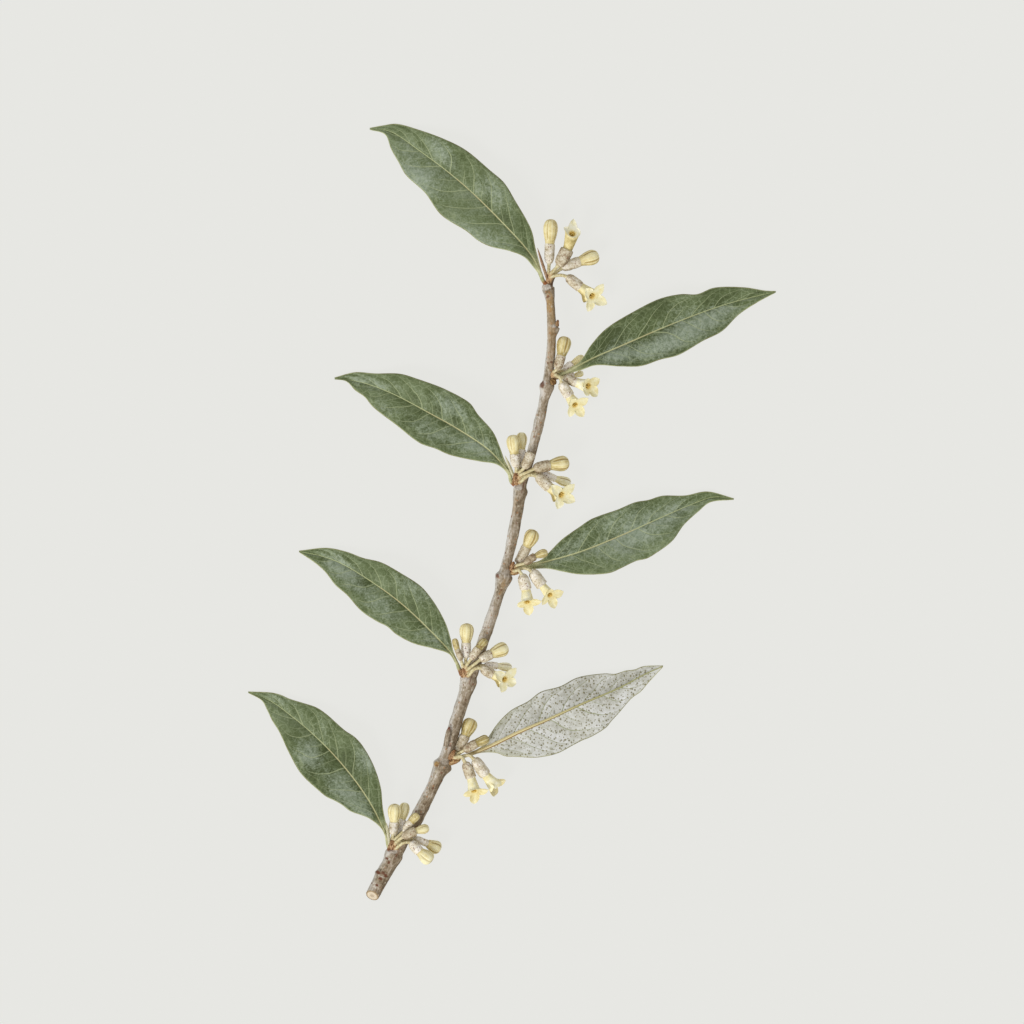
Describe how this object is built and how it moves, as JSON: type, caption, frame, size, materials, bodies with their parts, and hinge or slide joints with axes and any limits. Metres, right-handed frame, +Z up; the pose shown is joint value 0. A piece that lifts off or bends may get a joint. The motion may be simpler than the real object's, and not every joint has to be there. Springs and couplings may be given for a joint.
{
  "type": "autumn olive sprig",
  "caption": "Flowering sprig lying flat: curved grey-brown twig, alternate wavy green leaves, a leaf turned to its silver back, and clusters of pale yellow buds and open flowers.",
  "frame": {"origin": "middle of the sprig's bounding box, on the surface that it lies on", "axes": "+Z up from the surface; +Y along the sprig from its cut end to its flowering tip; +X across it, so that the sprig curves from lower left to upper right as seen from above"},
  "size_m": [0.1319, 0.1944, 0.0099],
  "materials": {
    "bark": "matte",
    "leaf_top": "satin",
    "leaf_back": "matte",
    "flower": "matte",
    "scale": "matte",
    "brown_bud": "matte",
    "bract": "matte"
  },
  "bodies": {
    "root": {"twig": "bark", "leaf_1": "leaf_top", "leaf_2": "leaf_top", "leaf_3": "leaf_top", "leaf_4": "leaf_top", "leaf_5": "leaf_top", "leaf_6": "leaf_back", "leaf_7": "leaf_top", "bud_1a": "flower", "flower_1b": "flower", "bud_1c": "flower", "flower_1d": "flower", "bud_2a": "flower", "bud_2b": "flower", "bud_2c": "flower", "flower_2d": "flower", "flower_2e": "flower", "bud_3a": "flower", "bud_3b": "flower", "bud_3c": "flower", "bud_3d": "flower", "bud_3e": "flower", "flower_3f": "flower", "bud_4a": "flower", "bud_4b": "flower", "flower_4c": "flower", "flower_4d": "flower", "bud_5a": "flower", "bud_5b": "flower", "bud_5c": "flower", "bud_5d": "flower", "bud_5e": "flower", "flower_5f": "flower", "bud_6a": "flower", "bud_6b": "flower", "flower_6c": "flower", "flower_6d": "flower", "bud_7a": "flower", "bud_7b": "flower", "bud_7c": "flower", "bud_7d": "flower", "bud_7e": "flower", "bud_7f": "flower", "bud_scales_1": "scale", "bud_scales_2": "scale", "bud_scales_3": "scale", "bud_scales_4": "scale", "bud_scales_5": "scale", "bud_scales_6": "scale", "bud_scales_7": "scale", "resting_bud_2": "brown_bud", "resting_bud_4": "brown_bud", "resting_bud_6": "brown_bud", "side_bud_1": "brown_bud", "side_bud_5": "brown_bud", "bract_1": "bract", "bract_3": "bract", "bract_7": "bract"}
  },
  "joints": []
}
